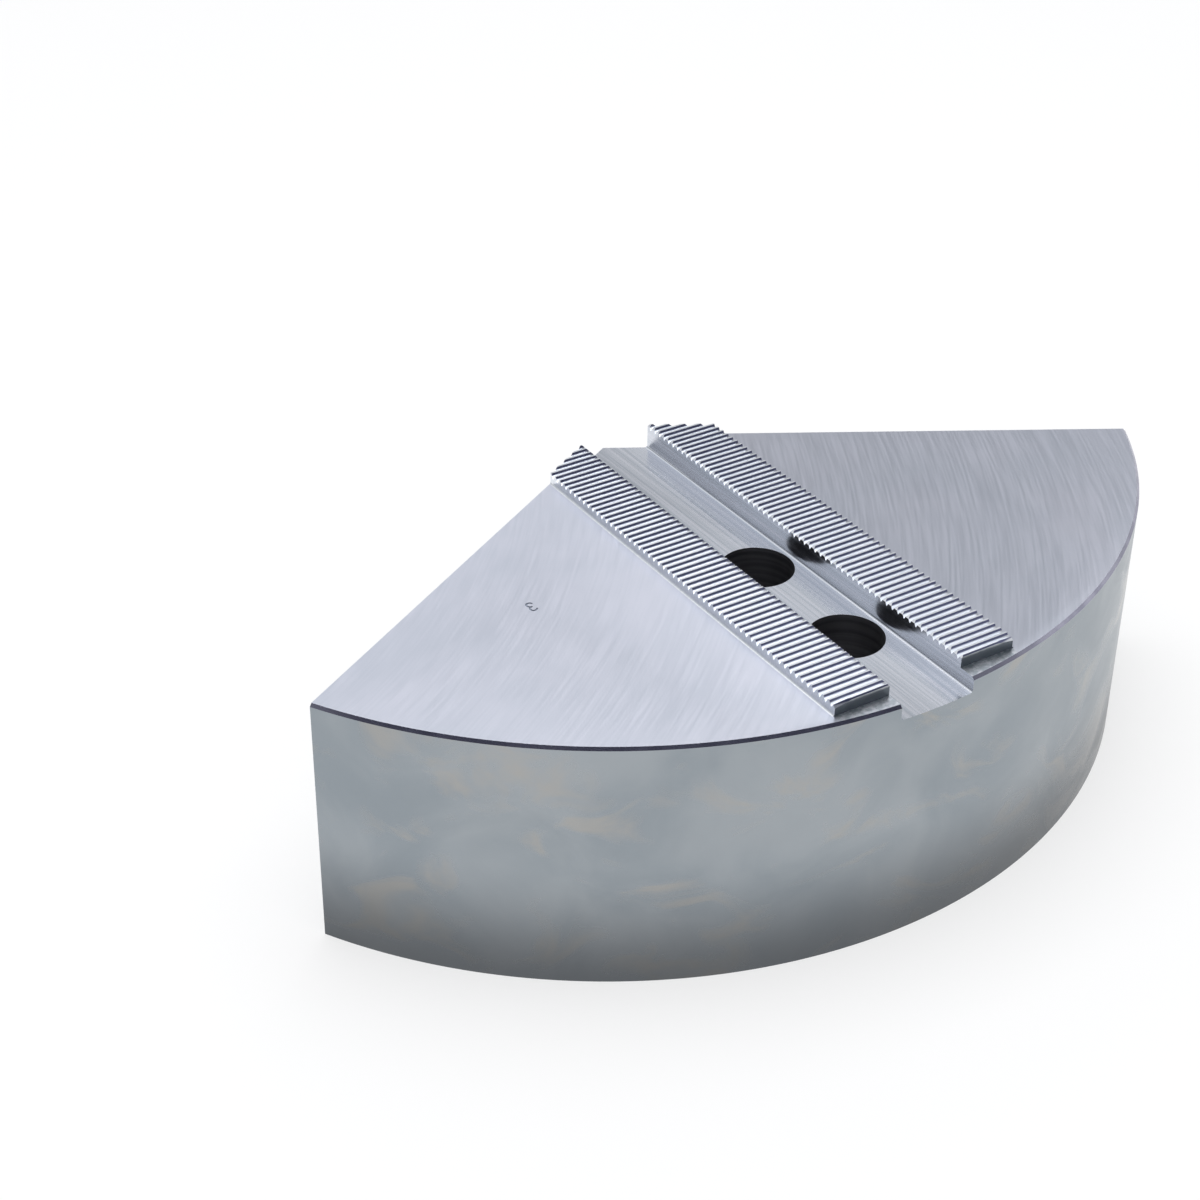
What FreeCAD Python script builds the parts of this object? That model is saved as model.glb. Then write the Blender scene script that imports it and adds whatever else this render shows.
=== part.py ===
"""Soft jaw for a three-jaw lathe chuck, in machinable aluminium.

The jaw is one third of a round plate. Its back carries two serrated rails with a guide slot
between them, which mesh with the chuck's master jaw. Two screws in line along the slot hold it.
Its other face is left plain, for the machinist to bore or turn to suit the workpiece.

Frame, in millimetres: Z = 0 is the plain grip face, and +Z points out of the serrated back.
The guide slot runs along Y, with the point of the jaw at +Y and the outer arc towards -Y.
The origin is under the middle of the bounding box.
"""
import FreeCAD, Part
import math
import os

import Sketcher

Vector = FreeCAD.Vector
Constraint = Sketcher.Constraint
UP = Vector(0, 0, 1)
CLOSE = 1e-4  # two lengths nearer than this, in millimetres, are the same
NODE = "soft_jaw"

# Driving sizes, in millimetres and degrees.
SIZES = {
    "outer_radius": 100,  # from the chuck's axis to the outer arc
    "sector_angle": 120,  # a third of the full round
    "side_relief": 1.5,  # each side face stands this far inside its third
    "total_height": 49,  # from the grip face to the tops of the teeth
    "rail_height": 2.2,  # the rails above the relieved back face
    "rail_width": 10.75,
    "rail_root_radius": 0.4,  # at the foot of each rail's outer side
    "slot_width": 14.5,
    "slot_depth": 5,  # below the tops of the teeth
    "slot_corner_radius": 0.5,
    "slot_edge_break": 0.4,  # taken off the teeth along both top edges of the slot
    "tooth_pitch": 1.5,
    "tooth_angle": 60,
    "tooth_depth": 1,
    "last_groove_from_rim": 4.5,
    "end_land": 0.9,  # from the middle of the last groove to each rail's end face
    "end_edge_break": 0.2,  # taken off the top edge of each end face
    "rim_chamfer": 0.5,
    "screw_hole_diameter": 13,  # clearance for an M12 screw
    "screw_spacing": 25,
    "outer_screw_from_rim": 23.5,
    "head_bore_diameter": 20,  # for the head of an M12 socket screw
    "screw_grip": 16,  # metal left between the head's seat and the slot
    "number_height": 2.75,
    "number_stroke": 0.35,
    "number_depth": 0.15,
    "number_from_slot": 42,  # across, from the slot's centre line
    "number_from_rim": 54.5,  # along the slot
    "number_angle": 180,  # from +X to the number's reading direction
}

# What follows from the sizes, each a formula in a second sheet. A later one may use an earlier.
PLACES = {
    "half_angle": "Sizes.sector_angle / 2",
    "left_side_turn": "-90 - half_angle",
    "right_side_turn": "half_angle - 90",
    "point_from_axis": "Sizes.side_relief / sin(half_angle)",
    "axis_y": "(Sizes.outer_radius + point_from_axis) / 2",
    "point_y": "axis_y - point_from_axis",
    "rim_radius": "Sizes.outer_radius",
    "rim_y": "axis_y - rim_radius",
    "clear_rim_y": "rim_y - 1",
    "clear_side": "rim_radius + 1",
    "clear_height": "Sizes.total_height + 1",
    "back_height": "Sizes.total_height - Sizes.rail_height",
    "floor_height": "Sizes.total_height - Sizes.slot_depth",
    "slot_side": "Sizes.slot_width / 2",
    "edge_break_height": "Sizes.total_height - Sizes.slot_edge_break",
    "edge_break_clear": "slot_side + Sizes.slot_edge_break + clear_height - Sizes.total_height",
    "rail_side": "slot_side + Sizes.rail_width",
    "rail_tip_y": "axis_y - (slot_side * cos(half_angle) + Sizes.side_relief) / sin(half_angle)",
    "last_groove_y": "rim_y + Sizes.last_groove_from_rim",
    "groove_count": "floor((rail_tip_y - last_groove_y) / Sizes.tooth_pitch) + 1",
    "groove_bottom": "Sizes.total_height - Sizes.tooth_depth",
    "groove_flare": "(clear_height - groove_bottom) * tan(Sizes.tooth_angle / 2)",
    "groove_inner_y": "last_groove_y + groove_flare",
    "groove_outer_y": "last_groove_y - groove_flare",
    "end_y": "last_groove_y - Sizes.end_land",
    "end_break_height": "Sizes.total_height - Sizes.end_edge_break",
    "end_break_clear": "end_y + Sizes.end_edge_break + clear_height - Sizes.total_height",
    "chamfer_outer_y": "rim_y - Sizes.rim_chamfer",
    "chamfer_inner_y": "rim_y + 2 * Sizes.rim_chamfer",
    "chamfer_bottom": "back_height - 2 * Sizes.rim_chamfer",
    "chamfer_top": "back_height + Sizes.rim_chamfer",
    "outer_screw_y": "rim_y + Sizes.outer_screw_from_rim",
    "inner_screw_y": "outer_screw_y + Sizes.screw_spacing",
    "screw_radius": "Sizes.screw_hole_diameter / 2",
    "head_bore_radius": "Sizes.head_bore_diameter / 2",
    "head_bore_depth": "floor_height - Sizes.screw_grip",
    "number_x": "-Sizes.number_from_slot",
    "number_y": "rim_y + Sizes.number_from_rim",
    "bowl_radius": "(Sizes.number_height - Sizes.number_stroke) / 4",
    "stroke_radius": "Sizes.number_stroke / 2",
    "bowl_outer_radius": "bowl_radius + stroke_radius",
    "bowl_inner_radius": "bowl_radius - stroke_radius",
    "bowl_tip_height": "1.5 * bowl_radius",
}


def fill_sheet(doc, name, cells, sign=""):
    """A sheet with each name in column A, and its number or formula in column B as its alias."""
    sheet = doc.addObject("Spreadsheet::Sheet", name)
    for row, (alias, content) in enumerate(cells.items(), start=1):
        sheet.set(f"A{row}", alias)
        sheet.set(f"B{row}", f"{sign}{content}")
        sheet.setAlias(f"B{row}", alias)
    doc.recompute()


def value(name):
    """The number in a cell of the sheet of places. A leading minus changes its sign."""
    number = getattr(FreeCAD.ActiveDocument.Places, name.lstrip("-"))
    return -number if name.startswith("-") else number


def formula(name):
    """The expression for that same cell."""
    return "-Places." + name[1:] if name.startswith("-") else "Places." + name


def origin_feature(body, role):
    """One of the body's own origin planes or axes."""
    return next(feature for feature in body.Origin.OriginFeatures if feature.Role == role)


def add_sketch(body, name, plane):
    sketch = body.newObject("Sketcher::SketchObject", name)
    sketch.AttachmentSupport = [(origin_feature(body, plane), "")]
    sketch.MapMode = "FlatFace"
    return sketch


def bind(sketch, kind, *geometry, to):
    """A length constraint bound to a named place."""
    index = sketch.addConstraint(Constraint(kind, *geometry, value(to)))
    sketch.setExpression(f"Constraints[{index}]", formula(to))


def bind_turn(sketch, line, to):
    """The direction of a line, bound to a named angle."""
    index = sketch.addConstraint(Constraint("Angle", line, math.radians(value(to))))
    sketch.setExpression(f"Constraints[{index}]", formula(to) + " * 1 deg")


def bind_across(sketch, geometry, end, to):
    """Holds a point at a named distance across from the sketch's origin.

    An end is 1 or 2, or 3 for an arc's centre. The origin is point 1 of geometry -1.
    """
    bind(sketch, "DistanceX", -1, 1, geometry, end, to=to)


def bind_up(sketch, geometry, end, to):
    """Holds a point at a named distance up from the sketch's origin."""
    bind(sketch, "DistanceY", -1, 1, geometry, end, to=to)


def hold_centre_on_axis(sketch, arc):
    """Keeps an arc's centre on the sketch's vertical axis, which is geometry -2."""
    sketch.addConstraint(Constraint("PointOnObject", arc, 3, -2))


def draw_polygon(sketch, corners):
    """A closed outline with straight sides. Each corner is a pair of named places."""
    points = [Vector(value(across), value(up), 0) for across, up in corners]
    sides = [
        sketch.addGeometry(Part.LineSegment(start, end))
        for start, end in zip(points, points[1:] + points[:1])
    ]
    for side, following in zip(sides, sides[1:] + sides[:1]):
        sketch.addConstraint(Constraint("Coincident", side, 2, following, 1))
    for side, (across, up) in zip(sides, corners):
        bind_across(sketch, side, 1, to=across)
        bind_up(sketch, side, 1, to=up)


def draw_segment(sketch):
    """Plan of the jaw: two straight sides from its point to the outer arc."""
    axis = Vector(0, value("axis_y"), 0)
    point = Vector(0, value("point_y"), 0)
    turns = [math.radians(value(name)) for name in ("left_side_turn", "right_side_turn")]
    circle = Part.Circle(axis, UP, value("rim_radius"))
    arc = sketch.addGeometry(Part.ArcOfCircle(circle, *turns))
    left, right = [
        sketch.addGeometry(Part.LineSegment(point, sketch.getPoint(arc, end))) for end in (1, 2)
    ]
    sketch.addConstraint(Constraint("Coincident", left, 1, right, 1))
    sketch.addConstraint(Constraint("Coincident", left, 2, arc, 1))
    sketch.addConstraint(Constraint("Coincident", right, 2, arc, 2))
    hold_centre_on_axis(sketch, arc)
    sketch.addConstraint(Constraint("PointOnObject", left, 1, -2))
    bind_up(sketch, arc, 3, to="axis_y")
    bind_up(sketch, left, 1, to="point_y")
    bind(sketch, "Radius", arc, to="rim_radius")
    bind_turn(sketch, left, to="left_side_turn")
    bind_turn(sketch, right, to="right_side_turn")


def draw_bowl(sketch):
    """The upper bowl of a numeral 3: a round-ended stroke along an arc that ends at the origin."""
    middle = Vector(0, value("bowl_radius"), 0)
    joint, tip = math.radians(-90), math.radians(150)

    def add_arc(centre, radius, start, end):
        circle = Part.Circle(centre, UP, value(radius))
        return sketch.addGeometry(Part.ArcOfCircle(circle, start, end))

    def end_centre(turn):
        return middle + Vector(math.cos(turn), math.sin(turn), 0) * value("bowl_radius")

    outer = add_arc(middle, "bowl_outer_radius", joint, tip)
    inner = add_arc(middle, "bowl_inner_radius", joint, tip)
    joint_cap = add_arc(end_centre(joint), "stroke_radius", joint - math.pi, joint)
    tip_cap = add_arc(end_centre(tip), "stroke_radius", tip, tip + math.pi)
    sketch.addConstraint(Constraint("Tangent", outer, 1, joint_cap, 2))
    sketch.addConstraint(Constraint("Tangent", inner, 1, joint_cap, 1))
    sketch.addConstraint(Constraint("Tangent", outer, 2, tip_cap, 1))
    sketch.addConstraint(Constraint("Tangent", inner, 2, tip_cap, 2))
    sketch.addConstraint(Constraint("Coincident", outer, 3, inner, 3))
    hold_centre_on_axis(sketch, outer)
    hold_centre_on_axis(sketch, joint_cap)
    bind_up(sketch, outer, 3, to="bowl_radius")
    bind_up(sketch, tip_cap, 3, to="bowl_tip_height")
    bind(sketch, "Radius", outer, to="bowl_outer_radius")
    bind(sketch, "Radius", inner, to="bowl_inner_radius")


def cut_through(body, sketch, name):
    """Cuts a sketch's outlines out of the whole jaw, both ways from the sketch's plane."""
    pocket = body.newObject("PartDesign::Pocket", name)
    pocket.Profile = sketch
    pocket.Type = "ThroughAll"
    pocket.SideType = "Symmetric"
    return pocket


def lengthwise_edges(feature, side, height):
    """Names of the edges that run along Y at a distance each side of the slot, at a height."""
    names = []
    for number, edge in enumerate(feature.Shape.Edges, start=1):
        box = edge.BoundBox
        lengthwise = box.XLength < CLOSE and box.ZLength < CLOSE
        if lengthwise and abs(abs(box.XMin) - side) < CLOSE and abs(box.ZMin - height) < CLOSE:
            names.append(f"Edge{number}")
    return names


def round_corners(body, name, feature, corner, radius):
    """A fillet along both inside corners at a side and a height, each a named place."""
    body.Document.recompute()
    side, height = corner
    fillet = body.newObject("PartDesign::Fillet", name)
    fillet.Base = (feature, lengthwise_edges(feature, value(side), value(height)))
    fillet.setExpression("Radius", radius)


def add_blank(body):
    plan = add_sketch(body, "SegmentPlan", "XY_Plane")
    draw_segment(plan)
    blank = body.newObject("PartDesign::Pad", "Blank")
    blank.Profile = plan
    blank.setExpression("Length", "Sizes.total_height")


def cut_back_relief(body):
    """Lowers the back face on both sides of the rails."""
    section = add_sketch(body, "ReliefSection", "XZ_Plane")
    for sign in ("-", ""):
        near, far = sign + "rail_side", sign + "clear_side"
        low, high = "back_height", "clear_height"
        draw_polygon(section, [(near, low), (far, low), (far, high), (near, high)])
    relief = cut_through(body, section, "BackRelief")
    round_corners(body, "RailRoots", relief, ("rail_side", "back_height"), "Sizes.rail_root_radius")


def cut_guide_slot(body):
    """Mills the slot, with a small chamfer along both of its top edges."""
    section = add_sketch(body, "SlotSection", "XZ_Plane")
    right = [("slot_side", "floor_height"), ("slot_side", "edge_break_height")]
    right.append(("edge_break_clear", "clear_height"))
    left = [("-" + across, up) for across, up in reversed(right)]
    draw_polygon(section, right + left)
    slot = cut_through(body, section, "GuideSlot")
    corner = ("slot_side", "floor_height")
    round_corners(body, "SlotCorners", slot, corner, "Sizes.slot_corner_radius")


def cut_rail_ends(body):
    """Ends both rails upright and short of the rim, which leaves a ledge level with the back."""
    section = add_sketch(body, "RailEndSection", "YZ_Plane")
    end = [("end_y", "back_height"), ("end_y", "end_break_height")]
    end.append(("end_break_clear", "clear_height"))
    beyond = [("clear_rim_y", "clear_height"), ("clear_rim_y", "back_height")]
    draw_polygon(section, end + beyond)
    cut_through(body, section, "RailEnds")


def cut_rim_chamfer(body):
    """Turns a chamfer round the outer arc at the back face, about the chuck's axis."""
    section = add_sketch(body, "ChamferSection", "YZ_Plane")
    slope = [("chamfer_outer_y", "chamfer_bottom"), ("chamfer_inner_y", "chamfer_top")]
    draw_polygon(section, slope + [("chamfer_outer_y", "chamfer_top")])
    foot = Vector(value("axis_y"), 0, 0)
    axis = section.addGeometry(Part.LineSegment(foot, foot + Vector(0, value("back_height"), 0)), True)
    section.addConstraint(Constraint("PointOnObject", axis, 1, -1))
    section.addConstraint(Constraint("Vertical", axis))
    bind_across(section, axis, 1, to="axis_y")
    bind(section, "DistanceY", axis, 1, axis, 2, to="back_height")
    chamfer = body.newObject("PartDesign::Groove", "RimChamfer")
    chamfer.Profile = section
    chamfer.ReferenceAxis = (section, ["Axis0"])
    chamfer.Angle = 360


def cut_serrations(body):
    """Cuts one V groove across both rails, and repeats it towards the point of the jaw."""
    section = add_sketch(body, "GrooveSection", "YZ_Plane")
    flare = [("groove_inner_y", "clear_height"), ("groove_outer_y", "clear_height")]
    draw_polygon(section, [("last_groove_y", "groove_bottom")] + flare)
    groove = cut_through(body, section, "LastGroove")
    body.Document.recompute()
    serrations = body.newObject("PartDesign::LinearPattern", "Serrations")
    serrations.Originals = [groove]
    serrations.Direction = (origin_feature(body, "Y_Axis"), [""])
    serrations.Mode = "Spacing"
    serrations.setExpression("Offset", "Sizes.tooth_pitch")
    serrations.setExpression("Occurrences", "Places.groove_count")
    body.Tip = serrations


def drill_screw_holes(body):
    """Two screw holes through the slot's floor, each with a bore for the screw's head."""
    for name, radius, depth in (
        ("ScrewHoles", "screw_radius", "Places.floor_height"),
        ("HeadBores", "head_bore_radius", "Places.head_bore_depth"),
    ):
        centres = add_sketch(body, name + "Plan", "XY_Plane")
        for along in ("outer_screw_y", "inner_screw_y"):
            circle = Part.Circle(Vector(0, value(along), 0), UP, value(radius))
            ring = centres.addGeometry(circle)
            hold_centre_on_axis(centres, ring)
            bind_up(centres, ring, 3, to=along)
            bind(centres, "Radius", ring, to=radius)
        pocket = body.newObject("PartDesign::Pocket", name)
        pocket.Profile = centres
        pocket.Reversed = True
        pocket.setExpression("Length", depth)


def engrave_number(body):
    """The jaw's plain number, 3, cut shallow into the back face beside the left rail."""
    plan = add_sketch(body, "NumberPlan", "XY_Plane")
    plan.AttachmentOffset = FreeCAD.Placement(Vector(0, 0, 0), FreeCAD.Rotation(UP, 90))
    plan.setExpression("AttachmentOffset.Base.x", "Places.number_x")
    plan.setExpression("AttachmentOffset.Base.y", "Places.number_y")
    plan.setExpression("AttachmentOffset.Base.z", "Places.back_height")
    plan.setExpression("AttachmentOffset.Rotation.Angle", "Sizes.number_angle * 1 deg")
    draw_bowl(plan)
    bowl = body.newObject("PartDesign::Pocket", "NumberBowl")
    bowl.Profile = plan
    bowl.setExpression("Length", "Sizes.number_depth")
    body.Document.recompute()
    number = body.newObject("PartDesign::Mirrored", "Number")
    number.Originals = [bowl]
    number.MirrorPlane = (plan, ["H_Axis"])
    body.Tip = number


def build_jaw(doc):
    body = doc.addObject("PartDesign::Body", "SoftJaw")
    body.Label = NODE
    add_blank(body)
    cut_back_relief(body)
    cut_guide_slot(body)
    cut_rail_ends(body)
    cut_rim_chamfer(body)
    cut_serrations(body)
    drill_screw_holes(body)
    engrave_number(body)
    body.Placement = FreeCAD.Placement()
    return body


def check(doc, body):
    """Stops on a feature that failed to recompute, or on a jaw that is not one valid solid."""
    failed = [part.Name for part in doc.Objects if {"Invalid", "Error"} & set(part.State)]
    if failed:
        raise RuntimeError(f"failed features: {failed}")
    shape = body.Shape
    if shape.isNull() or not shape.isValid() or len(shape.Solids) != 1:
        raise RuntimeError(f"{body.Label} is not one valid solid")


def main():
    doc = FreeCAD.newDocument("SoftJaw")
    fill_sheet(doc, "Sizes", SIZES)
    fill_sheet(doc, "Places", PLACES, sign="=")
    jaw = build_jaw(doc)
    doc.recompute()
    check(doc, jaw)
    box = jaw.Shape.BoundBox
    print(f"{jaw.Label}: volume {jaw.Shape.Volume:.1f} mm3, {box}")
    os.makedirs("parts", exist_ok=True)
    jaw.Shape.exportStep(f"parts/{jaw.Label}.step")


main()
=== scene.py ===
"""Looks of the soft jaw: one machined aluminium piece, with the finish of each of its surfaces.

The jaw's mesh is built here in millimetres, in the frame of the CAD model, with finer arcs and
broken edges, and is then scaled to metres. It replaces the CAD model's plain mesh in the render.
"""

import math

import bmesh
import bpy
from mathutils import Matrix, Vector


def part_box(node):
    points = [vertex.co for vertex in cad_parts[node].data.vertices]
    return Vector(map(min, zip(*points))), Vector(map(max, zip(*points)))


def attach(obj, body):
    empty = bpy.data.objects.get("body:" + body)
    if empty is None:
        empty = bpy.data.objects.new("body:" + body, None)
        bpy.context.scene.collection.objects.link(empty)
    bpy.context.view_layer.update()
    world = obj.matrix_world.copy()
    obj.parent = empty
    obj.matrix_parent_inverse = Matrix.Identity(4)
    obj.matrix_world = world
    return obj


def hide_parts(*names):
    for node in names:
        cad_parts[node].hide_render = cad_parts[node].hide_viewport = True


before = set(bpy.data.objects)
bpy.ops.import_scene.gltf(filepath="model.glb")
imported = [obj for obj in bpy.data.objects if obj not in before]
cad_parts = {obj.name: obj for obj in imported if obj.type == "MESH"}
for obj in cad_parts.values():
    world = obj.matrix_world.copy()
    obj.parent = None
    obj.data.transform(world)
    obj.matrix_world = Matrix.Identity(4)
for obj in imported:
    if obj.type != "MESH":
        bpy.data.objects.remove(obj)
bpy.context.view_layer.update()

MM = 0.001
LOW, HIGH = [[value / MM for value in corner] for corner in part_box("soft_jaw")]

# The jaw, in millimetres, with +Z out of its serrated back and -Y towards its rim.
RADIUS = 100
RELIEF = 1.5  # each side face stands this far inside its third of the round
HALF_ANGLE = math.radians(60)
AXIS_Y = LOW[1] + RADIUS
TOP = HIGH[2]
BACK = TOP - 2.2
FLOOR = TOP - 5  # of the guide slot
SLOT_SIDE = 7.25
SLOT_CORNER = 0.5
SLOT_EDGE = 0.4  # taken off the teeth along the slot
RAIL_SIDE = 18
RAIL_ROOT = 0.4
RIM_CHAMFER = 0.5
PITCH = 1.5
TOOTH_DEPTH = 1
TOOTH_SLOPE = math.tan(math.radians(30))
LAST_GROOVE = LOW[1] + 4.5
GROOVES = 60
RAIL_END = LAST_GROOVE - 0.9
END_EDGE = 0.2
SCREWS = [LOW[1] + 23.5, LOW[1] + 48.5]
SCREW_RADIUS = 6.5
HEAD_RADIUS = 10
HEAD_DEPTH = FLOOR - 16
NUMBER_AT = (-42, LOW[1] + 54.5)
NUMBER_ANGLE = math.radians(180)
NUMBER_BOWL = 0.6
NUMBER_STROKE = 0.175
NUMBER_DEPTH = 0.15
EDGE_WIDTH = 0.07  # taken off every sharp edge
CLOSE = 0.01
CLEAR = 1  # how far a cutter reaches past the metal


# ---------------------------------------------------------------- mesh


def mesh_object(name, build):
    """An object whose mesh is filled by build(bm)."""
    bm = bmesh.new()
    build(bm)
    bmesh.ops.recalc_face_normals(bm, faces=bm.faces)
    mesh = bpy.data.meshes.new(name)
    bm.to_mesh(mesh)
    bm.free()
    thing = bpy.data.objects.new(name, mesh)
    bpy.context.scene.collection.objects.link(thing)
    return thing


def prism(name, outline, place, low, high):
    """A prism: place(a, b, along) puts a point of the flat outline in space."""

    def build(bm):
        ends = [[bm.verts.new(place(a, b, along)) for a, b in outline] for along in (low, high)]
        bm.faces.new(ends[0])
        bm.faces.new(ends[1])
        for i in range(len(outline)):
            j = (i + 1) % len(outline)
            bm.faces.new((ends[0][i], ends[0][j], ends[1][j], ends[1][i]))

    return mesh_object(name, build)


def along_x(y, z, x):
    return (x, y, z)


def along_y(x, z, y):
    return (x, y, z)


def arc(centre, radius, start, end, steps):
    """Points on an arc, with its angles in degrees."""
    turns = [math.radians(start + (end - start) * i / steps) for i in range(steps + 1)]
    return [(centre[0] + radius * math.cos(t), centre[1] + radius * math.sin(t)) for t in turns]


def boolean(target, cutter, operation="DIFFERENCE"):
    modifier = target.modifiers.new("cut", "BOOLEAN")
    modifier.object = cutter
    modifier.solver = "EXACT"
    modifier.operation = operation
    apply_modifiers(target)
    bpy.data.objects.remove(cutter)


def apply_modifiers(target):
    graph = bpy.context.evaluated_depsgraph_get()
    mesh = bpy.data.meshes.new_from_object(target.evaluated_get(graph))
    target.modifiers.clear()
    target.data = mesh


def jaw_section():
    """Symmetric section across the slot: back face, rails with their roots, and the slot."""
    right = arc((SLOT_SIDE - SLOT_CORNER, FLOOR + SLOT_CORNER), SLOT_CORNER, -90, 0, 6)
    right += [(SLOT_SIDE, TOP - SLOT_EDGE), (SLOT_SIDE + SLOT_EDGE, TOP), (RAIL_SIDE, TOP)]
    right += arc((RAIL_SIDE + RAIL_ROOT, BACK + RAIL_ROOT), RAIL_ROOT, 180, 270, 6)
    right += [(RADIUS + CLEAR, BACK), (RADIUS + CLEAR, 0)]
    return right + [(-x, z) for x, z in reversed(right)]


def sector(bm):
    """The sector of the round blank, with the chamfer round its rim."""
    steps = 240
    point = (0, AXIS_Y - RELIEF / math.sin(HALF_ANGLE))
    rise = TOP - BACK + 0.2  # carries the chamfer's cone on past the tops of the teeth
    levels = [(-CLEAR, RADIUS), (BACK - RIM_CHAMFER, RADIUS), (BACK + rise, RADIUS - RIM_CHAMFER - rise)]
    rings = []
    for z, radius in levels:
        # The side faces are planes, so the arc's ends stay on them at every radius.
        limit = HALF_ANGLE - math.asin(RELIEF / radius)
        ring = [bm.verts.new((*point, z))]
        for i in range(steps + 1):
            t = limit * (2 * i / steps - 1)
            ring.append(bm.verts.new((radius * math.sin(t), AXIS_Y - radius * math.cos(t), z)))
        rings.append(ring)
    bm.faces.new(rings[0])
    bm.faces.new(rings[-1])
    for lower, upper in zip(rings, rings[1:]):
        for i in range(len(lower)):
            j = (i + 1) % len(lower)
            bm.faces.new((lower[i], lower[j], upper[j], upper[i]))


def groove_outline():
    """One comb-shaped outline that cuts every groove."""
    reach = 0.2
    outline = []
    for i in range(GROOVES):
        y = LAST_GROOVE + i * PITCH
        half = (TOOTH_DEPTH + reach) * TOOTH_SLOPE
        outline += [(y - half, TOP + reach), (y, TOP - TOOTH_DEPTH), (y + half, TOP + reach)]
    return outline + [(outline[-1][0], TOP + CLEAR), (outline[0][0], TOP + CLEAR)]


def bowl_outline():
    """A round-ended stroke along an arc: the upper half of a numeral 3."""
    centre = (0, NUMBER_BOWL)
    start, end = -90, 150  # degrees

    def on_arc(angle):
        return arc(centre, NUMBER_BOWL, angle, angle, 1)[0]

    outline = arc(centre, NUMBER_BOWL + NUMBER_STROKE, start, end, 24)
    outline += arc(on_arc(end), NUMBER_STROKE, end, end + 180, 8)[1:-1]
    outline += arc(centre, NUMBER_BOWL - NUMBER_STROKE, end, start, 24)
    return outline + arc(on_arc(start), NUMBER_STROKE, start + 180, start + 360, 8)[1:-1]


def build_jaw():
    jaw = prism("jaw", jaw_section(), along_y, LOW[1] - CLEAR, HIGH[1] + CLEAR)
    boolean(jaw, mesh_object("sector", sector), "INTERSECT")

    end = [(RAIL_END, BACK), (RAIL_END, TOP - END_EDGE), (RAIL_END + END_EDGE + CLEAR, TOP + CLEAR)]
    beyond = [(LOW[1] - CLEAR, TOP + CLEAR), (LOW[1] - CLEAR, BACK)]
    for name, outline in (("ends", end + beyond), ("comb", groove_outline())):
        boolean(jaw, prism(name, outline, along_x, -RAIL_SIDE - CLEAR, RAIL_SIDE + CLEAR))

    for y in SCREWS:
        for radius, low, high, steps in (
            (SCREW_RADIUS, HEAD_DEPTH - CLEAR, FLOOR + CLEAR, 96),
            (HEAD_RADIUS, -CLEAR, HEAD_DEPTH, 128),
        ):
            ring = arc((0, y), radius, 0, 360, steps)[:-1]
            boolean(jaw, prism("drill", ring, lambda a, b, z: (a, b, z), low, high))

    turn = Matrix.Rotation(NUMBER_ANGLE, 3, "Z")
    for flip in (1, -1):

        def place(a, b, z, flip=flip):
            return turn @ Vector((a, b * flip, 0)) + Vector((*NUMBER_AT, z))

        boolean(jaw, prism("stroke", bowl_outline(), place, BACK - NUMBER_DEPTH, BACK + CLEAR))
    return jaw


def region(face):
    """The name in FINISHES of the machined surface that a face belongs to."""
    normal = face.normal
    middle = face.calc_center_median()
    out = Vector((middle.x, middle.y - AXIS_Y, 0))
    on_rails = abs(middle.x) < RAIL_SIDE + CLOSE
    raised = middle.z > BACK + CLOSE
    if normal.z < -0.9 and middle.z < CLOSE:
        return "grip"
    for y in SCREWS:
        near = math.hypot(middle.x, middle.y - y)
        if near < HEAD_RADIUS + CLOSE and middle.z < FLOOR - CLOSE:
            return "bore"
    if out.length > RADIUS - RIM_CHAMFER and normal.z < 0.3 and normal.dot(out) > 0.9 * out.length:
        return "rim"
    if abs(normal.z - math.cos(math.radians(45))) < 0.05 and out.length > RADIUS - 2 * RIM_CHAMFER:
        return "chamfer"
    side = Vector((math.cos(HALF_ANGLE), math.sin(HALF_ANGLE), 0))
    if normal.dot(Vector((math.copysign(side.x, normal.x), side.y, 0))) > 0.999:
        return "side"
    if abs(middle.x) < SLOT_SIDE + CLOSE and middle.z < TOP - SLOT_EDGE + CLOSE:
        return "slot"
    if middle.z < BACK - CLOSE and not on_rails:
        return "number"
    if on_rails and raised and normal.y < -0.9:
        return "end"
    if on_rails and raised and normal.y < -0.4:
        return "front_flank"
    if on_rails or raised:
        return "teeth"
    return "back"


# ---------------------------------------------------------------- materials


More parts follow.
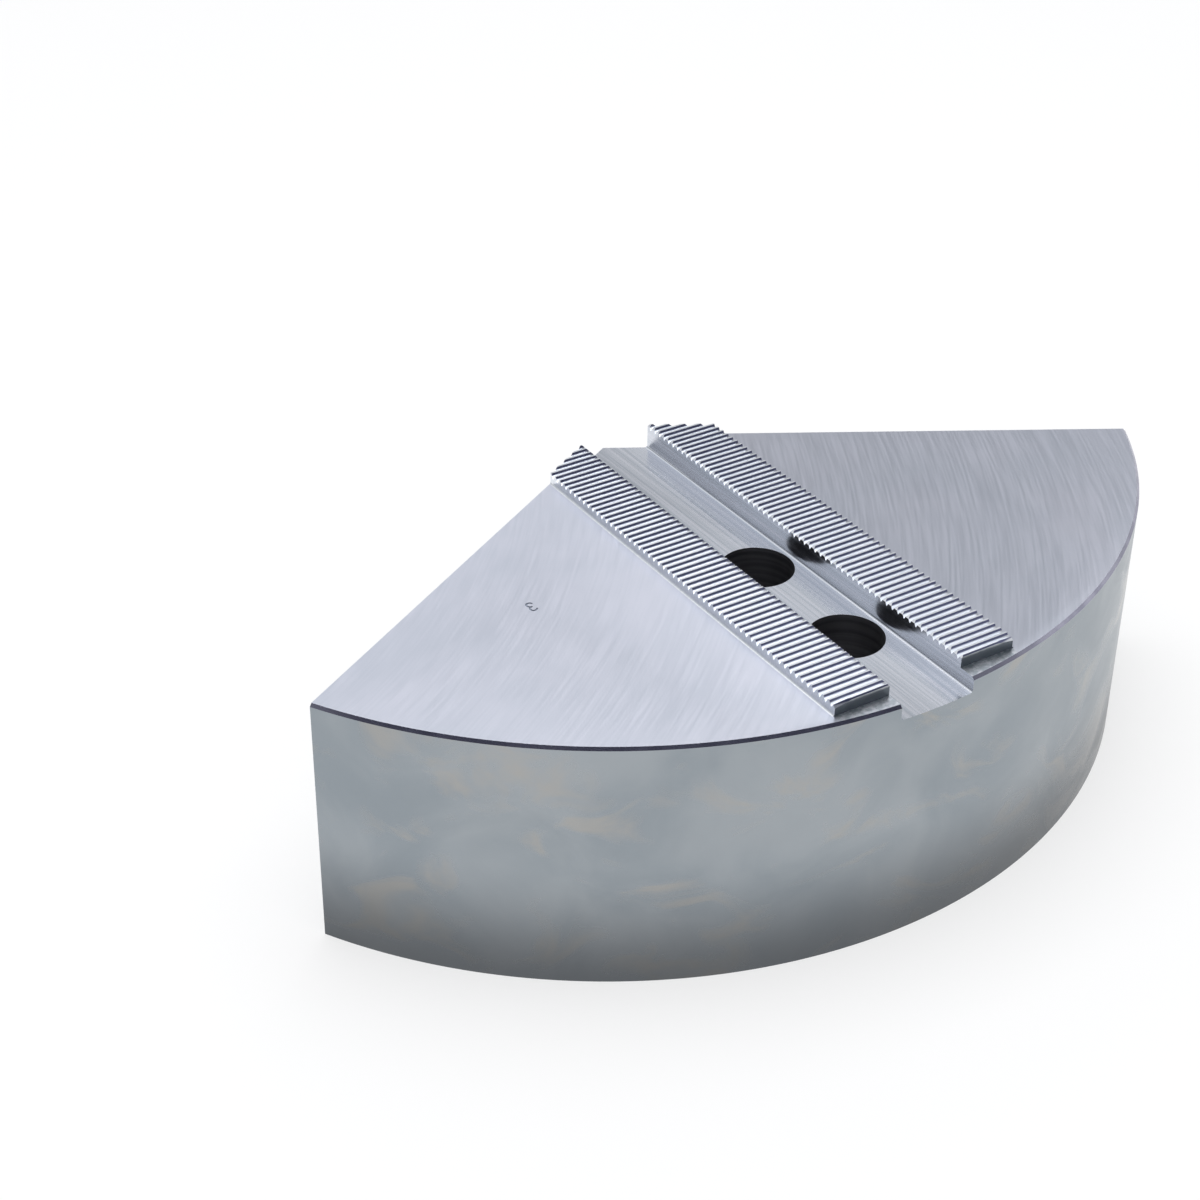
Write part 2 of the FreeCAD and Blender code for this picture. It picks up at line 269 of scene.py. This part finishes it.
class Nodes:
    """Short calls to add and join shader nodes."""

    def __init__(self, name):
        self.material = bpy.data.materials.new(name)
        self.material.use_nodes = True
        self.tree = self.material.node_tree
        self.shader = self.tree.nodes["Principled BSDF"]
        coordinate = self.tree.nodes.new("ShaderNodeTexCoord").outputs["Object"]
        self.place = self.vector("SCALE", coordinate, scale=1 / MM)

    def join(self, source, socket):
        if isinstance(source, bpy.types.NodeSocket):
            self.tree.links.new(source, socket)
        else:
            socket.default_value = source

    def vector(self, operation, a, b=None, scale=None):
        node = self.tree.nodes.new("ShaderNodeVectorMath")
        node.operation = operation
        self.join(a, node.inputs[0])
        if b is not None:
            self.join(b, node.inputs[1])
        if scale is not None:
            self.join(scale, node.inputs["Scale"])
        return node.outputs["Vector"]

    def math(self, operation, *values, clamp=False):
        node = self.tree.nodes.new("ShaderNodeMath")
        node.operation = operation
        node.use_clamp = clamp
        for socket, value in zip(node.inputs, values):
            self.join(value, socket)
        return node.outputs[0]

    def noise(self, place, scale, detail=2.0, rough=0.5, distortion=0.0):
        node = self.tree.nodes.new("ShaderNodeTexNoise")
        self.join(place, node.inputs["Vector"])
        node.inputs["Scale"].default_value = scale
        node.inputs["Detail"].default_value = detail
        node.inputs["Roughness"].default_value = rough
        node.inputs["Distortion"].default_value = distortion
        return node.outputs["Fac"]

    def stretch(self, x, y, z):
        """The place in millimetres, scaled along each axis."""
        return self.vector("MULTIPLY", self.place, (x, y, z))

    def ramp(self, value, low, high, to_low=0.0, to_high=1.0):
        node = self.tree.nodes.new("ShaderNodeMapRange")
        node.interpolation_type = "SMOOTHSTEP"
        self.join(value, node.inputs["Value"])
        names = ("From Min", "From Max", "To Min", "To Max")
        for name, number in zip(names, (low, high, to_low, to_high)):
            node.inputs[name].default_value = number
        return node.outputs["Result"]

    def mix(self, amount, a, b):
        node = self.tree.nodes.new("ShaderNodeMix")
        node.data_type = "RGBA"
        self.join(amount, node.inputs["Factor"])
        for value, socket in ((a, node.inputs[6]), (b, node.inputs[7])):
            self.join((*value, 1) if isinstance(value, tuple) else value, socket)
        return node.outputs[2]

    def separate(self, place):
        node = self.tree.nodes.new("ShaderNodeSeparateXYZ")
        self.join(place, node.inputs[0])
        return node.outputs

    def combine(self, x, y, z):
        node = self.tree.nodes.new("ShaderNodeCombineXYZ")
        for socket, value in zip(node.inputs, (x, y, z)):
            self.join(value, socket)
        return node.outputs[0]

    def polar(self, x, y):
        """Distance from, and angle about, an upright line through a point in millimetres."""
        across, along, _ = self.separate(self.vector("SUBTRACT", self.place, (x, y, 0.0)))
        squares = [self.math("MULTIPLY", part, part) for part in (across, along)]
        return self.math("SQRT", self.math("ADD", *squares)), self.math("ARCTAN2", along, across)

    def bump(self, height, distance):
        node = self.tree.nodes.new("ShaderNodeBump")
        node.inputs["Distance"].default_value = distance * MM
        node.inputs["Strength"].default_value = 1.0
        self.join(height, node.inputs["Height"])
        self.join(node.outputs["Normal"], self.shader.inputs["Normal"])

    def finish(self, colour, roughness):
        self.shader.inputs["Metallic"].default_value = 1.0
        base = self.shader.inputs["Base Color"]
        self.join((*colour, 1) if isinstance(colour, tuple) else colour, base)
        self.join(roughness, self.shader.inputs["Roughness"])
        return self.material


def back_finish():
    """Face milled: fine arcs of the cutter, clouded a little."""
    n = Nodes("milled_back")
    reach, turn = n.polar(-150.0, 120.0)
    arcs = n.noise(n.combine(reach, n.math("MULTIPLY", turn, 6.0), 0.0), 2.2, 3)
    clouds = n.noise(n.place, 0.035, 3, 0.55, 0.6)
    tone = n.math("ADD", n.math("MULTIPLY", arcs, 0.35), n.math("MULTIPLY", clouds, 0.65))
    colour = n.mix(n.ramp(tone, 0.3, 0.7), (0.60, 0.635, 0.72), (0.68, 0.70, 0.79))

    # The ledges beyond the rails are rougher.
    x, y, _ = n.separate(n.place)
    ledge = n.math("LESS_THAN", n.math("ABSOLUTE", x), RAIL_SIDE)
    ledge = n.math("MULTIPLY", ledge, n.math("LESS_THAN", y, RAIL_END))
    grain = n.noise(n.place, 0.9, 4, 0.7)
    rough = n.mix(n.ramp(grain, 0.42, 0.6), (0.46, 0.51, 0.56), (0.70, 0.73, 0.79))
    colour = n.mix(ledge, colour, rough)
    height = n.math("ADD", n.math("MULTIPLY", arcs, 0.12), n.math("MULTIPLY", ledge, grain))
    n.bump(height, 0.03)
    return n.finish(colour, n.ramp(arcs, 0.3, 0.7, 0.29, 0.35))


def rim_finish():
    """Turned rim with clouds and feathered patches, all painted reflection: its grey base colour is kept
    far darker than the jaw's other faces, and its clouds and warm patches stand in for the wall's
    mottled reflections.
    """
    n = Nodes("turned_rim")
    bend = n.noise(n.place, 0.03, 2, 0.5)
    warped = n.vector("ADD", n.place, n.vector("SCALE", n.combine(bend, bend, bend), scale=30.0))
    clouds = n.noise(warped, 0.04, 4, 0.5, 0.5)
    feathers = n.noise(n.vector("MULTIPLY", warped, (1.0, 1.0, 1.8)), 0.06, 4, 0.55, 0.8)
    # Painted reflection: dark grey clouds and warm feathered patches stand in for the wall's mottled
    # reflections.
    grey = n.mix(n.ramp(clouds, 0.3, 0.7), (0.29, 0.325, 0.355), (0.36, 0.39, 0.415))
    painted_reflection_patches = n.ramp(feathers, 0.5, 0.72, 0.0, 0.55)
    colour = n.mix(painted_reflection_patches, grey, (0.42, 0.395, 0.355))

    # Painted shade: the base colour darkens towards the foot of the rim, standing in for the jaw's own
    # shadow mirrored there.
    painted_foot_shade = n.ramp(n.separate(n.place)[2], 0.0, 24.0, 0.75, 0.0)
    colour = n.mix(painted_foot_shade, colour, (0.07, 0.073, 0.078))
    n.bump(clouds, 0.12)
    return n.finish(colour, n.ramp(feathers, 0.3, 0.7, 0.34, 0.24))


def slot_finish():
    """End milled and bright, streaked along the slot."""
    n = Nodes("bright_slot")
    streaks = n.noise(n.stretch(1.0, 0.012, 1.0), 1.3, 4, 0.6)
    fine = n.noise(n.stretch(1.0, 0.02, 1.0), 6.0, 2)
    colour = n.mix(n.ramp(streaks, 0.3, 0.7), (0.60, 0.64, 0.70), (0.74, 0.76, 0.82))
    n.bump(n.math("ADD", streaks, n.math("MULTIPLY", fine, 0.3)), 0.02)
    return n.finish(colour, n.ramp(streaks, 0.3, 0.7, 0.17, 0.26))


def teeth_finish():
    """The crests of the teeth, their flanks towards the point and the rails' outer sides."""
    n = Nodes("cut_teeth")
    streaks = n.noise(n.stretch(0.05, 1.0, 1.0), 3.0, 3)
    grain = n.noise(n.place, 1.1, 3)
    colour = n.mix(n.ramp(streaks, 0.3, 0.7), (0.74, 0.78, 0.83), (0.86, 0.88, 0.92))
    n.bump(n.math("ADD", streaks, grain), 0.01)
    return n.finish(colour, 0.28)


def flank_finish():
    """The teeth's flanks towards the rim, with a painted dark reflection under the crests and bright
    metal lower down.
    """
    n = Nodes("tooth_flanks")
    streaks = n.noise(n.stretch(0.05, 1.0, 1.0), 3.0, 3)
    depth = n.separate(n.place)[2]
    # Painted reflection: the flank's colour turns dark navy near the crest.
    painted_dark_reflection = n.ramp(n.math("ADD", depth, n.math("MULTIPLY", streaks, 0.12)), TOP - 0.42, TOP - 0.2)
    colour = n.mix(painted_dark_reflection, (0.82, 0.85, 0.90), (0.17, 0.18, 0.30))
    n.bump(streaks, 0.01)
    return n.finish(colour, 0.3)


def end_finish():
    """The rails' upright end faces, with painted light: a painted dark reflection over the face, and a
    painted highlight under their top edge.
    """
    n = Nodes("rail_ends")
    grain = n.noise(n.place, 0.8, 3)
    # Painted light: near black low down as a painted reflection, pale near the top edge as a painted
    # highlight.
    height = n.math("ADD", n.separate(n.place)[2], n.math("MULTIPLY", grain, 0.4))
    colour = n.mix(n.ramp(height, TOP - 0.5, TOP + 0.2), (0.13, 0.15, 0.17), (0.62, 0.64, 0.66))
    return n.finish(colour, 0.4)


def number_finish():
    """The dull bottom and walls of the engraving."""
    n = Nodes("engraved_number")
    return n.finish((0.30, 0.33, 0.40), 0.45)


def chamfer_finish():
    """Smooth, with a painted reflection: its dark bluish base colour stands in for the room above the
    camera that it mirrors.
    """
    n = Nodes("rim_chamfer")
    grain = n.noise(n.place, 0.2, 3)
    # Painted reflection: the base colour is kept dark and bluish.
    colour = n.mix(n.ramp(grain, 0.35, 0.65), (0.28, 0.28, 0.36), (0.38, 0.38, 0.47))
    return n.finish(colour, 0.22)


def side_finish():
    """Sawn and milled side faces, with fine upright marks."""
    n = Nodes("milled_side")
    marks = n.noise(n.stretch(1.0, 1.0, 0.03), 1.6, 3, 0.6)
    clouds = n.noise(n.place, 0.05, 3)
    tone = n.math("ADD", n.math("MULTIPLY", marks, 0.6), n.math("MULTIPLY", clouds, 0.4))
    colour = n.mix(n.ramp(tone, 0.3, 0.7), (0.42, 0.45, 0.49), (0.58, 0.60, 0.65))
    n.bump(marks, 0.02)
    return n.finish(colour, n.ramp(marks, 0.3, 0.7, 0.30, 0.40))


def bore_finish():
    """Drilled, with faint rings."""
    n = Nodes("drilled_bore")
    rings = n.noise(n.stretch(0.02, 0.02, 1.0), 1.2, 3)
    colour = n.mix(n.ramp(rings, 0.35, 0.65), (0.22, 0.22, 0.24), (0.34, 0.34, 0.36))
    n.bump(rings, 0.02)
    return n.finish(colour, 0.4)


def grip_finish():
    """The plain face that the machinist bores: faced on the lathe."""
    n = Nodes("faced_grip")
    reach, _ = n.polar(0.0, AXIS_Y)
    rings = n.noise(n.combine(reach, 0.0, 0.0), 1.5, 3)
    colour = n.mix(n.ramp(rings, 0.3, 0.7), (0.56, 0.59, 0.65), (0.68, 0.70, 0.76))
    n.bump(rings, 0.01)
    return n.finish(colour, 0.3)


FINISHES = {
    "back": back_finish,
    "rim": rim_finish,
    "chamfer": chamfer_finish,
    "side": side_finish,
    "slot": slot_finish,
    "teeth": teeth_finish,
    "front_flank": flank_finish,
    "end": end_finish,
    "number": number_finish,
    "bore": bore_finish,
    "grip": grip_finish,
}


def dress(jaw):
    """Gives each surface its finish, breaks the edges, and scales the mesh to metres."""
    order = list(FINISHES)
    for name in order:
        jaw.data.materials.append(FINISHES[name]())
    bm = bmesh.new()
    bm.from_mesh(jaw.data)
    bmesh.ops.dissolve_limit(
        bm, angle_limit=math.radians(0.05), verts=bm.verts, edges=bm.edges, delimit={"NORMAL"}
    )
    bm.normal_update()
    for face in bm.faces:
        face.material_index = order.index(region(face))
        face.smooth = True
    for edge in bm.edges:
        edge.smooth = edge.is_manifold and edge.calc_face_angle(0) < math.radians(25)
    bm.to_mesh(jaw.data)
    bm.free()
    bevel = jaw.modifiers.new("edges", "BEVEL")
    bevel.width = EDGE_WIDTH
    bevel.segments = 2
    bevel.limit_method = "ANGLE"
    bevel.angle_limit = math.radians(30)
    bevel.harden_normals = True
    apply_modifiers(jaw)
    jaw.data.transform(Matrix.Scale(MM, 4))


# ---------------------------------------------------------------- studio


def stage_floor():
    def build(bm):
        bmesh.ops.create_grid(bm, x_segments=1, y_segments=1, size=12)

    floor = mesh_object("floor", build)
    material = bpy.data.materials.new("pale_floor")
    material.use_nodes = True
    tree = material.node_tree
    tree.nodes.clear()
    path = tree.nodes.new("ShaderNodeLightPath")
    diffuse = tree.nodes.new("ShaderNodeBsdfDiffuse")
    diffuse.inputs["Color"].default_value = (0.8, 0.8, 0.8, 1)
    glow = tree.nodes.new("ShaderNodeEmission")
    seen = seen_directly(tree, path)
    share = tree.nodes.new("ShaderNodeMath")
    share.operation = "MULTIPLY"
    share.inputs[1].default_value = 0.6
    tree.links.new(seen, share.inputs[0])
    mix = tree.nodes.new("ShaderNodeMixShader")
    tree.links.new(share.outputs[0], mix.inputs[0])
    tree.links.new(diffuse.outputs[0], mix.inputs[1])
    tree.links.new(glow.outputs[0], mix.inputs[2])
    output = tree.nodes.new("ShaderNodeOutputMaterial")
    tree.links.new(mix.outputs[0], output.inputs[0])
    floor.data.materials.append(material)


def seen_directly(tree, path):
    """1 for camera, glossy and transmission rays."""
    total = path.outputs["Is Camera Ray"]
    for name in ("Is Glossy Ray", "Is Transmission Ray"):
        node = tree.nodes.new("ShaderNodeMath")
        node.operation = "MAXIMUM"
        tree.links.new(total, node.inputs[0])
        tree.links.new(path.outputs[name], node.inputs[1])
        total = node.outputs[0]
    return total


def white_world():
    world = bpy.data.worlds.new("studio")
    bpy.context.scene.world = world
    world.use_nodes = True
    tree = world.node_tree
    background = tree.nodes["Background"]
    path = tree.nodes.new("ShaderNodeLightPath")
    mix = tree.nodes.new("ShaderNodeMix")
    mix.data_type = "RGBA"
    mix.inputs[6].default_value = (0.55, 0.56, 0.58, 1)
    mix.inputs[7].default_value = (1, 1, 1, 1)
    tree.links.new(seen_directly(tree, path), mix.inputs["Factor"])
    tree.links.new(mix.outputs[2], background.inputs["Color"])


def flag(name, low, high, left, right, tone, radius=1.6, fade=0.18, dim=(0.0, 1.0, 1.0)):
    """A dark or grey studio card, curved round the jaw, that only reflections see.

    low and high are elevations and left and right azimuths, in degrees. Azimuth 0 is towards
    -Y and grows towards +X. tone lists the card's colour from its bottom, 0, to its top, 1.
    dim is the share of that colour up to one place across the card, which is full by another.
    """
    across, rows = 48, 16

    def build(bm):
        grid = []
        for j in range(rows + 1):
            e = math.radians(low + (high - low) * j / rows)
            row = []
            for i in range(across + 1):
                a = math.radians(left + (right - left) * i / across)
                row.append(bm.verts.new((
                    radius * math.cos(e) * math.sin(a),
                    -radius * math.cos(e) * math.cos(a),
                    radius * math.sin(e),
                )))
            grid.append(row)
        layer = bm.loops.layers.uv.new("card")
        for j in range(rows):
            for i in range(across):
                corners = ((j, i), (j, i + 1), (j + 1, i + 1), (j + 1, i))
                face = bm.faces.new([grid[r][c] for r, c in corners])
                for loop, (r, c) in zip(face.loops, corners):
                    loop[layer].uv = (c / across, r / rows)

    card = mesh_object(name, build)
    card.visible_camera = False
    card.visible_diffuse = False
    card.visible_transmission = False
    card.visible_shadow = False
    card.visible_volume_scatter = False
    n = Nodes(name)
    n.tree.nodes.remove(n.shader)
    place = n.tree.nodes.new("ShaderNodeUVMap")
    u, v, _ = n.separate(place.outputs[0])
    glow = n.tree.nodes.new("ShaderNodeEmission")
    ramp = n.tree.nodes.new("ShaderNodeValToRGB")
    ramp.color_ramp.interpolation = "LINEAR"
    elements = ramp.color_ramp.elements
    for at, _ in tone[1:-1]:
        elements.new(at)
    for element, (_, colour) in zip(elements, tone):
        element.color = (*colour, 1)
    start, end, share = dim
    n.join(n.ramp(u, start, end, share, 1.0), glow.inputs["Strength"])
    n.join(v, ramp.inputs[0])
    n.join(ramp.outputs[0], glow.inputs["Color"])
    clear = n.tree.nodes.new("ShaderNodeBsdfTransparent")
    inside = n.math("MULTIPLY", n.ramp(u, 0.0, fade), n.ramp(u, 1.0 - fade, 1.0, 1.0, 0.0))
    inside = n.math("MULTIPLY", inside, n.ramp(v, 0.0, fade))
    inside = n.math("MULTIPLY", inside, n.ramp(v, 1.0 - fade, 1.0, 1.0, 0.0))
    mix = n.tree.nodes.new("ShaderNodeMixShader")
    n.join(inside, mix.inputs[0])
    n.join(clear.outputs[0], mix.inputs[1])
    n.join(glow.outputs[0], mix.inputs[2])
    n.join(mix.outputs[0], n.tree.nodes["Material Output"].inputs[0])
    card.data.materials.append(n.material)


def add_flags():
    """A dark card behind the camera, and a grey one behind the jaw that brightens upwards."""
    dark = [(0.0, (0.10, 0.11, 0.14)), (1.0, (0.03, 0.03, 0.06))]
    flag("front_flag", 8, 78, -120, 75, dark)
    rising = [(0.0, 0.20), (0.47, 0.38), (0.55, 0.48), (0.62, 0.66), (0.70, 0.84), (0.75, 0.94)]
    rising.append((1.0, 1.0))
    tone = [(at, (0.98 * grey, 0.99 * grey, 1.02 * grey)) for at, grey in rising]
    flag("rear_flag", 6, 46, 80, 260, tone, radius=6, fade=0.12, dim=(0.27, 0.40, 0.80))


def area_light(name, place, target, size, power):
    light = bpy.data.lights.new(name, "AREA")
    light.shape = "RECTANGLE"
    light.size, light.size_y = size
    light.energy = power
    lamp = bpy.data.objects.new(name, light)
    bpy.context.scene.collection.objects.link(lamp)
    lamp.location = place
    lamp.rotation_euler = (Vector(target) - Vector(place)).to_track_quat("-Z", "Y").to_euler()


def add_camera():
    """The photograph's camera, solved from the jaw's own edges."""
    eye = Vector((-0.2032235, -0.2655463, 0.2528633))
    target = Vector((-0.0231840, 0.0329690, 0.0468))
    roll = math.radians(-0.1751)
    forward = (target - eye).normalized()
    right = forward.cross(Vector((0, 0, 1))).normalized()
    up = right.cross(forward)
    tilted_right = math.cos(roll) * right + math.sin(roll) * up
    tilted_up = math.cos(roll) * up - math.sin(roll) * right
    data = bpy.data.cameras.new("camera")
    data.sensor_width = 36
    data.lens = 67.8316
    data.shift_x, data.shift_y = 0.047892, -0.079466
    data.clip_start, data.clip_end = 0.01, 100
    camera = bpy.data.objects.new("camera", data)
    bpy.context.scene.collection.objects.link(camera)
    turn = Matrix((tilted_right, tilted_up, -forward)).transposed().to_4x4()
    camera.matrix_world = Matrix.Translation(eye) @ turn
    bpy.context.scene.camera = camera


jaw = build_jaw()
dress(jaw)
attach(jaw, "root")
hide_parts("soft_jaw")

stage_floor()
white_world()
add_camera()
area_light("overhead", (0, 0, 1.5), (0, 0, 0), (1.5, 1.5), 22)
add_flags()
bpy.context.scene.view_settings.view_transform = "Standard"
